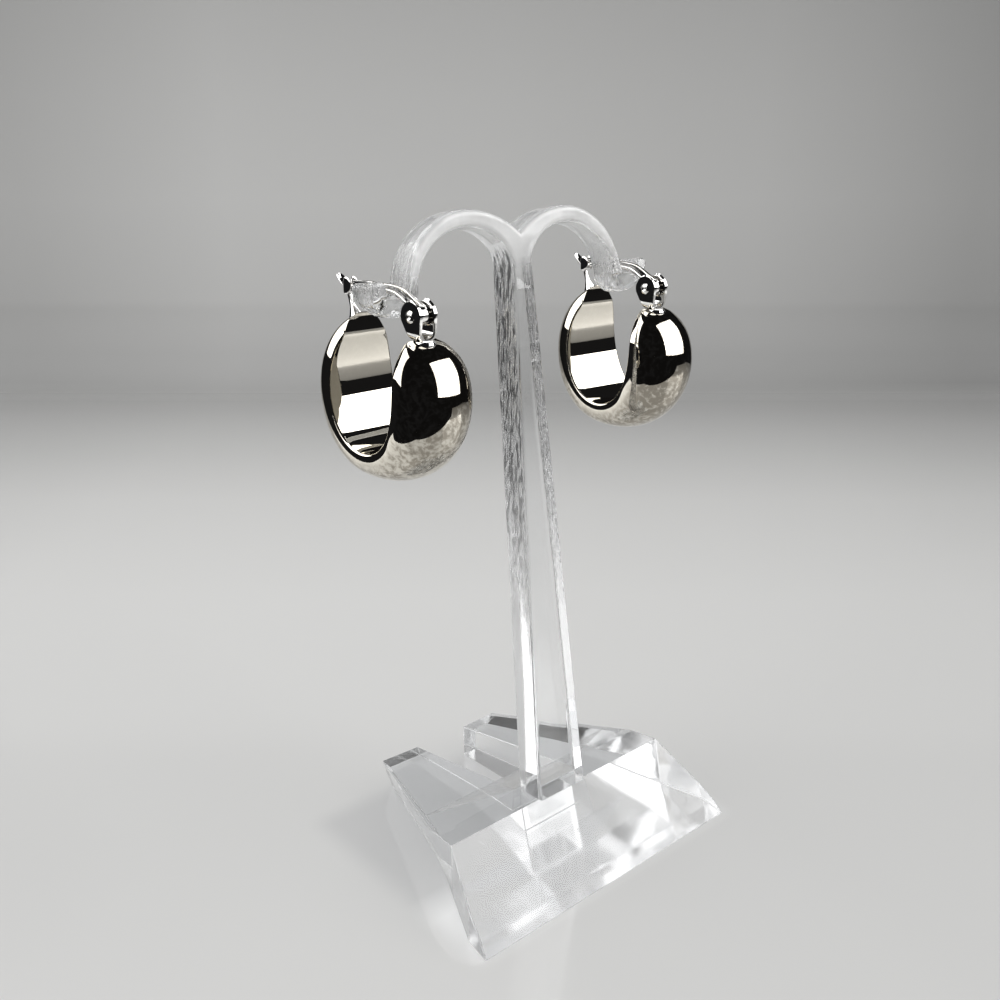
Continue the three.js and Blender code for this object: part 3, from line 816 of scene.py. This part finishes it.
bill_sheet = {"thickness": bill_skin * MM, "offset": 0.0}
bill_edges = {"width": 0.05 * MM, "segments": 2,
              "limit_method": "ANGLE", "angle_limit": math.radians(50)}
for side in hung:
    catch_mesh = mesh_from(catch(), side + "_catch")
    smooth_by_angle(catch_mesh, 40)
    made_object(side + "_catch", hang(catch_mesh, side), fitting_silver, ROOT, "silver")
    dish = mesh_from(bill(), side + "_dish")
    dish = settled(side + "_thumb_bill", dish, ("SOLIDIFY", bill_sheet), ("BEVEL", bill_edges))
    smooth_by_angle(dish, 60)
    made_object(side + "_thumb_bill", hang(dish, side), fitting_silver, ROOT, "silver")

# ---- The ear wires -------------------------------------------------------------------
# A strip of the same metal folded into an open channel, curving from the barrel on the rivet
# over the finger's groove to a tongue that springs into the catch. Each turns on its rivet.

wire_width, wire_height, wire_skin, wire_shoulder = 1.3, 0.95, 0.3, 0.32
barrel_radius, barrel_edge = 1.15, 0.1
tongue_width, tongue_height, tongue_reach, tongue_drop = 0.35, 0.45, 16.9, 0.05

# The channel's middle line, as Y and Z from the hinge.
wire_path = [
    (-0.3, 0.65), (1.3, 1.34), (3.15, 2.24), (4.65, 2.52), (6.5, 2.58), (9.4, 2.6), (11.4, 2.45)]


def channel_tree():
    """Geometry Nodes that sweep a channel's outline along the object's curve."""
    tree = bpy.data.node_groups.new("channel_along_path", "GeometryNodeTree")
    for name, kind in (("Path", "Geometry"), ("Outline", "Object"), ("Metal", "Material")):
        tree.interface.new_socket(name, in_out="INPUT", socket_type="NodeSocket" + kind)
    tree.interface.new_socket("Strip", in_out="OUTPUT", socket_type="NodeSocketGeometry")
    start, end = tree.nodes.new("NodeGroupInput"), tree.nodes.new("NodeGroupOutput")
    outline = tree.nodes.new("GeometryNodeObjectInfo")
    sweep = tree.nodes.new("GeometryNodeCurveToMesh")
    sweep.inputs["Fill Caps"].default_value = True
    real = tree.nodes.new("GeometryNodeRealizeInstances")
    metal = tree.nodes.new("GeometryNodeSetMaterial")
    link = tree.links.new
    link(start.outputs["Path"], sweep.inputs["Curve"])
    link(start.outputs["Outline"], outline.inputs["Object"])
    link(outline.outputs["Geometry"], sweep.inputs["Profile Curve"])
    link(sweep.outputs["Mesh"], real.inputs["Geometry"])
    link(real.outputs["Geometry"], metal.inputs["Geometry"])
    link(start.outputs["Metal"], metal.inputs["Material"])
    link(metal.outputs["Geometry"], end.inputs["Strip"])
    return tree


def channel_outline():
    """The channel's section in millimetres, its upper corners rounded, open below."""
    outer = [(-0.5, -0.5), (-0.5, -0.36), (-0.44, -0.29), (-0.44, -0.05), (-0.5, 0.03)]
    for t in np.linspace(math.pi, math.pi / 2, 6):
        x = wire_shoulder * (1 + math.cos(t)) * wire_height / wire_width
        outer.append((x - 0.5, 0.5 - wire_shoulder + wire_shoulder * math.sin(t)))
    outer += [(-x, z) for x, z in outer[::-1]]
    wall_x, wall_z = wire_skin / wire_width, wire_skin / wire_height
    inner = [(x * (1 - 2 * wall_x), (z + 0.5) * (1 - wall_z) - 0.5) for x, z in outer]
    return [(x * wire_width, z * wire_height) for x, z in outer + inner[::-1]]


def poly_curve(name, points, closed=False):
    """A curve of straight steps through points in millimetres, as an object in the scene."""
    curve = bpy.data.curves.new(name, "CURVE")
    curve.dimensions = "3D"
    spline = curve.splines.new("POLY")
    spline.points.add(len(points) - 1)
    for point, place in zip(spline.points, points):
        point.co = (*(Vector(place) * MM), 1)
    spline.use_cyclic_u = closed
    holder = bpy.data.objects.new(name, curve)
    bpy.context.scene.collection.objects.link(holder)
    return holder


def swept_channel(name):
    """The channel as a mesh in metres, at rest over the finger."""
    path = [(0, hinge_y + back, hinge_z + up) for back, up in eased_path(wire_path, 10)]
    holder = poly_curve(name, path)
    modifier = holder.modifiers.new("channel", "NODES")
    modifier.node_group = sweep_tree
    inputs = {item.name: item.identifier for item in sweep_tree.interface.items_tree
              if item.in_out == "INPUT"}
    modifier[inputs["Outline"]] = channel_section
    modifier[inputs["Metal"]] = fitting_silver
    bpy.context.view_layer.update()
    depsgraph = bpy.context.evaluated_depsgraph_get()
    mesh = bpy.data.meshes.new_from_object(holder.evaluated_get(depsgraph))
    bpy.data.objects.remove(holder)
    return mesh


def barrel_and_tongue():
    """The closed barrel round the rivet, and the tongue on from the channel's top."""
    half = wire_width / 2
    profile = [(-half, barrel_radius - barrel_edge), (-half + barrel_edge, barrel_radius),
               (half - barrel_edge, barrel_radius), (half, barrel_radius - barrel_edge)]
    barrel = loft([[(x, hinge_y + r * y, hinge_z + r * z) for y, z in circle(40)] for x, r in profile])
    y = hinge_y + wire_path[-1][0]
    z = hinge_z + wire_path[-1][1] + (wire_height - tongue_height) / 2 - tongue_drop
    path = [(y - 0.4, z), (y + 0.3, z), (tongue_reach - 0.2, z - 0.02), (tongue_reach, z - 0.05)]
    blunt, pointed = (tongue_width / 2, tongue_height / 2), (tongue_width / 3, tongue_height / 4)
    return joined([barrel, bar(path, [blunt, blunt, blunt, pointed])])


sweep_tree = channel_tree()
channel_section = poly_curve("channel_outline", [(x, z, 0) for x, z in channel_outline()], True)
for side in hung:
    channel = swept_channel(side + "_strip")
    bm = barrel_and_tongue()
    bmesh.ops.scale(bm, vec=(MM, MM, MM), verts=bm.verts[:])
    bm.from_mesh(channel)
    bmesh.ops.recalc_face_normals(bm, faces=bm.faces[:])
    wire_mesh = bpy.data.meshes.new(side + "_wire")
    bm.to_mesh(wire_mesh)
    bm.free()
    smooth_by_angle(wire_mesh, 38)
    made_object(side + "_ear_wire_channel", hang(wire_mesh, side), fitting_silver,
                side + "_ear_wire", "silver_wire", side + "_ear_wire")
bpy.data.objects.remove(channel_section)

# ---- The set -----------------------------------------------------------------------
# A pale, faintly glossy sheet that runs back and curves up into a grey backdrop, with a
# wide soft light on each side. The room beyond is dark, and the domes mirror it.

heading, pitch = math.radians(41.09), math.radians(18.24)
camera_place = Vector((-89.9, -90.8, 93.2)) * MM
ahead = Vector((math.sin(heading), math.cos(heading), 0.0))
aside = Vector((ahead.y, -ahead.x, 0.0))
sheet_drop, around_drop, around_reach = 0.02, 0.3, 1500  # under the base, and how far round
camera_foot = Vector((camera_place.x, camera_place.y, -sheet_drop * MM))

camera_data = bpy.data.cameras.new("camera")
camera = bpy.data.objects.new("camera", camera_data)
bpy.context.scene.collection.objects.link(camera)
camera_data.sensor_width = 36.0
camera_data.lens = 37.82
camera_data.clip_start = 5 * MM
camera.location = camera_place
camera.rotation_euler = (math.pi / 2 - pitch, 0.0, -heading)
bpy.context.scene.camera = camera

# Painted shade on the sheet: how light it looks at these distances ahead of the camera's foot, then up
# the backdrop and across it, in millimetres, darker where the lamps' light falls off and at the
# backdrop's foot.
floor_shading = [(0, 0.72), (215, 0.72), (283, 0.66), (336, 0.54), (393, 0.41), (441, 0.35)]
backdrop_shading = [(0, 0.36), (14, 0.44), (35, 0.67), (76, 0.67), (113, 0.61), (150, 0.53)]
across_shading = [(-240, 0.74), (-192, 0.79), (-111, 1.0), (0, 0.97), (105, 0.86), (145, 0.75),
                (192, 0.60), (240, 0.54)]
sheet_tint = (1.0, 0.998, 0.985, 1.0)

# How the light that the acrylic gathers shows on the sheet, under its front and its legs.
light_in_front, light_at_legs = (0.9, 0.9, 0.895, 1.0), (0.62, 0.62, 0.618, 1.0)

# The floor sheet's corners, ahead of and across from the camera's foot, and where it curves up.
floor_end, curve_radius, sheet_top, sheet_reach = 409, 32, 175, 240
floor_outline = [(52, 0), (52, -30), (72, -70), (95, -117), (140, -185), (floor_end, -240),
                 (floor_end, 1000), (-80, 1000), (52, 250)]


def stage_sheet(name, corners, faces, material, **seen_by):
    """A part of the set, from corners in metres."""
    mesh = bpy.data.meshes.new(name)
    mesh.from_pydata([tuple(corner) for corner in corners], [], faces)
    mesh.materials.append(material)
    for face in mesh.polygons:
        face.use_smooth = True
    sheet = bpy.data.objects.new(name, mesh)
    bpy.context.scene.collection.objects.link(sheet)
    for ray_kind, seen in seen_by.items():
        setattr(sheet, "visible_" + ray_kind, seen)


def along(value, rows):
    """The tone between a table's rows, by a colour ramp over its range."""
    low, high = rows[0][0], rows[-1][0]
    share = (value - low * MM) / ((high - low) * MM)
    stops = [((at - low) / (high - low), tone) for at, tone in rows]
    return value.shader.node("ShaderNodeValToRGB", {"stops": stops}, {"Fac": share})["Color"]


def near(value, middle, reach):
    """One within reach of the middle, easing to nothing just outside."""
    return abs(value - middle).between(reach - 3 * MM, reach + 2 * MM, 1.0, 0.0, "SMOOTHSTEP")


def sheet_material():
    """Pale glossy card, with painted shade by distance and the light that the acrylic gathers painted
    on it.
    """
    card = Shader(bpy.data.materials.new("backdrop_sheet"))
    parts = card.parts(card.node("ShaderNodeTexCoord")["Object"])
    x, y, z = parts["X"], parts["Y"], parts["Z"]
    forward = x * ahead.x + y * ahead.y - camera_foot.dot(ahead)
    across = x * aside.x + y * aside.y - camera_foot.dot(aside)
    upright = z.between(0.0, 4 * MM)
    tone = card.colours(upright, along(forward, floor_shading), along(z, backdrop_shading))
    shade = card.colours(upright * 0.5 + 0.5, tone, along(across, across_shading), "MULTIPLY")
    tint = card.colours(1.0, shade, sheet_tint, "MULTIPLY")
    gathered = card.colours(y.between(-2 * MM, 3 * MM), light_in_front, light_at_legs)
    under = near(x, 0.0, 24 * MM) * near(y, 7.5 * MM, 19 * MM)
    colour = card.colours(under, tint, gathered)
    return card.finish(card.surface(Base_Color=colour, Roughness=upright * 0.5 + 0.12))


def on_sheet(distance, sideways, height=0.0):
    """A point of the set, in millimetres ahead of and across from the camera's foot."""
    return camera_foot + (ahead * distance + aside * sideways + Vector((0, 0, height))) * MM


sheet_paint = sheet_material()
corners = [on_sheet(*corner) for corner in floor_outline]
stage_sheet("floor_sheet", corners, [tuple(range(len(corners)))], sheet_paint)
curve = [(floor_end + curve_radius * math.sin(t), curve_radius - curve_radius * math.cos(t))
         for t in np.linspace(0, math.pi / 2, 33)]
curve.append((floor_end + curve_radius, sheet_top))
corners = [on_sheet(distance, sideways, height)
           for distance, height in curve for sideways in (-sheet_reach, sheet_reach)]
quads = [(i, i + 1, i + 3, i + 2) for i in range(0, len(corners) - 2, 2)]
stage_sheet("backdrop", corners, quads, sheet_paint)
corners = [Vector((x * around_reach, y * around_reach, -around_drop)) * MM
           for x, y in ((-1, -1), (1, -1), (1, 1), (-1, 1))]
stage_sheet("floor_around", corners, [(0, 1, 2, 3)], sheet_paint, glossy=False)

jewellery, softbox_distance = Vector((0, 8, 68)) * MM, 1.0
mirrored_more, seen_through = 2.0, 1.15


def softbox(name, directions, strength):
    """A soft light, its corners in these directions from the jewellery: azimuth and elevation."""
    corners = []
    for azimuth, elevation in directions:
        a, e = math.radians(azimuth), math.radians(elevation)
        way = Vector((math.sin(a) * math.cos(e), math.cos(a) * math.cos(e), math.sin(e)))
        corners.append(jewellery + way * softbox_distance)
    lamp = Shader(bpy.data.materials.new(name + "_glow"))
    ray = lamp.node("ShaderNodeLightPath")
    lit, mirrored, through = (
        lamp.node("ShaderNodeEmission", None, {"Color": (1, 1, 1, 1), "Strength": each})["Emission"]
        for each in (strength, strength + mirrored_more, seen_through))
    shown = lamp.over(ray["Is Glossy Ray"], lit, mirrored)
    glow = lamp.finish(lamp.over(ray["Is Transmission Ray"], shown, through))
    stage_sheet(name, corners, [(0, 1, 2, 3)], glow, camera=False)


softbox("right_softbox", [(136, 57), (93, 37), (120, 6.5), (169, 12.5)], 3.0)
softbox("left_softbox", [(-84, 7), (-30, 6), (5, 40), (-140, 82)], 1.75)

# A black card behind the camera draws the thin dark lines in the acrylic's edges.
card_black = (0.02, 0.02, 0.02, 1.0)
card_shader = Shader(bpy.data.materials.new("black_card"))
card_tone = card_shader.node("ShaderNodeEmission", None, {"Color": card_black})["Emission"]
corners = [on_sheet(-60, sideways, height)
           for sideways, height in ((-420, 20), (160, 20), (160, 420), (-420, 420))]
stage_sheet("black_card", corners, [(0, 1, 2, 3)], card_shader.finish(card_tone),
            camera=False, diffuse=False, glossy=False, shadow=False)

# Mirrored, the room is nearly black; seen directly or through the acrylic it is pale.
pale_room, dark_room = (0.42, 0.42, 0.42, 1.0), (0.012, 0.012, 0.013, 1.0)
room = Shader(bpy.data.worlds.new("room"))
ray = room.node("ShaderNodeLightPath")
kinds_of_ray = {0: ray["Is Glossy Ray"], 1: ray["Is Transmission Ray"]}
mirrored = room.node("ShaderNodeMath", {"operation": "SUBTRACT", "use_clamp": True}, kinds_of_ray)[0]
glow = {"Color": room.colours(mirrored, pale_room, dark_room)}
bpy.context.scene.world = room.finish(room.node("ShaderNodeBackground", None, glow)["Background"])
bpy.context.scene.view_settings.view_transform = "Standard"

# Light bounces many times inside the acrylic before it leaves.
light_paths = bpy.context.scene.cycles
light_paths.max_bounces = 32
light_paths.glossy_bounces = 24
light_paths.transmission_bounces = 24
light_paths.transparent_max_bounces = 24
